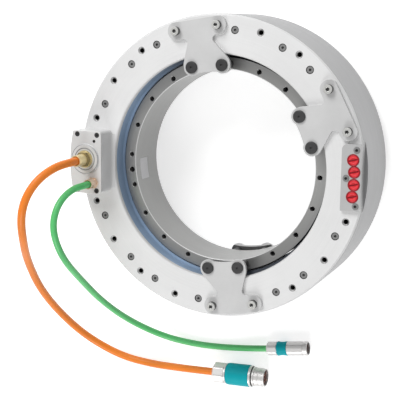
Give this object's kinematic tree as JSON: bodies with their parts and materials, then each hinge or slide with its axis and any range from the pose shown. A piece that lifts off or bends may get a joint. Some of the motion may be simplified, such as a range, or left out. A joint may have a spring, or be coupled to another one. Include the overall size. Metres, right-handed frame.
{
  "type": "frameless ring torque motor",
  "caption": "Built-in ring motor: cooled stator with connection box and coolant ports, open rotor ring inside, shipping brackets on both faces, power and signal cables.",
  "frame": {"origin": "on the motor's axis at the stator's rear mounting face", "axes": "+Z along the axis from the rear face to the front face where the cables leave, +X towards the coolant manifold"},
  "size_m": [0.5205, 0.5877, 0.2853],
  "materials": {
    "machined_aluminium": "fine turned, satin",
    "bracket_plate": "satin plate",
    "bright_screws": "zinc plated",
    "black_screws": "black oxide",
    "core_steel": "stacked sheets",
    "copper_wire": "enamelled copper",
    "blue_resin": "cast resin",
    "rotor_steel": "ground steel",
    "magnet_plating": "nickel plated",
    "foil_plate": "bare foil",
    "brass_gland": "turned brass",
    "red_plastic": "moulded",
    "orange_jacket": "smooth sheath",
    "green_jacket": "smooth sheath",
    "teal_plastic": "moulded grip",
    "connector_metal": "nickel plated"
  },
  "bodies": {
    "stator": {"front_flange": "machined_aluminium", "rear_flange": "machined_aluminium", "stator_housing": "machined_aluminium", "cooling_jacket": "machined_aluminium", "stator_core": "core_steel", "coil_windings": "copper_wire", "potting_front": "blue_resin", "potting_rear": "blue_resin", "bracket_front_1": "bracket_plate", "bracket_front_2": "bracket_plate", "bracket_front_3": "bracket_plate", "bracket_rear_1": "bracket_plate", "bracket_rear_2": "bracket_plate", "bracket_rear_3": "bracket_plate", "bracket_screws_front": "bright_screws", "bracket_screws_rear": "bright_screws", "lock_screws_front": "black_screws", "lock_screws_rear": "black_screws", "connection_box": "machined_aluminium", "box_cover": "machined_aluminium", "power_gland": "brass_gland", "signal_gland": "brass_gland", "coolant_manifold": "machined_aluminium", "port_plugs": "red_plastic", "manifold_screws": "bright_screws", "power_cable": "orange_jacket", "signal_cable": "green_jacket", "power_connector_clamp": "connector_metal", "power_connector_grip": "teal_plastic", "power_connector_ring": "connector_metal", "power_connector_nose": "connector_metal", "power_connector_insert": "red_plastic", "signal_connector_clamp": "connector_metal", "signal_connector_grip": "teal_plastic", "signal_connector_nose": "connector_metal", "signal_connector_insert": "red_plastic"},
    "rotor": {"rotor_ring": "rotor_steel", "rotor_magnets": "magnet_plating", "rating_plate": "foil_plate"}
  },
  "joints": [
    {"name": "rotor_spin", "type": "hinge", "parent": "stator", "child": "rotor", "pos_m": [0, 0, 0.061], "axis": [0, 0, 1], "continuous": true}
  ]
}
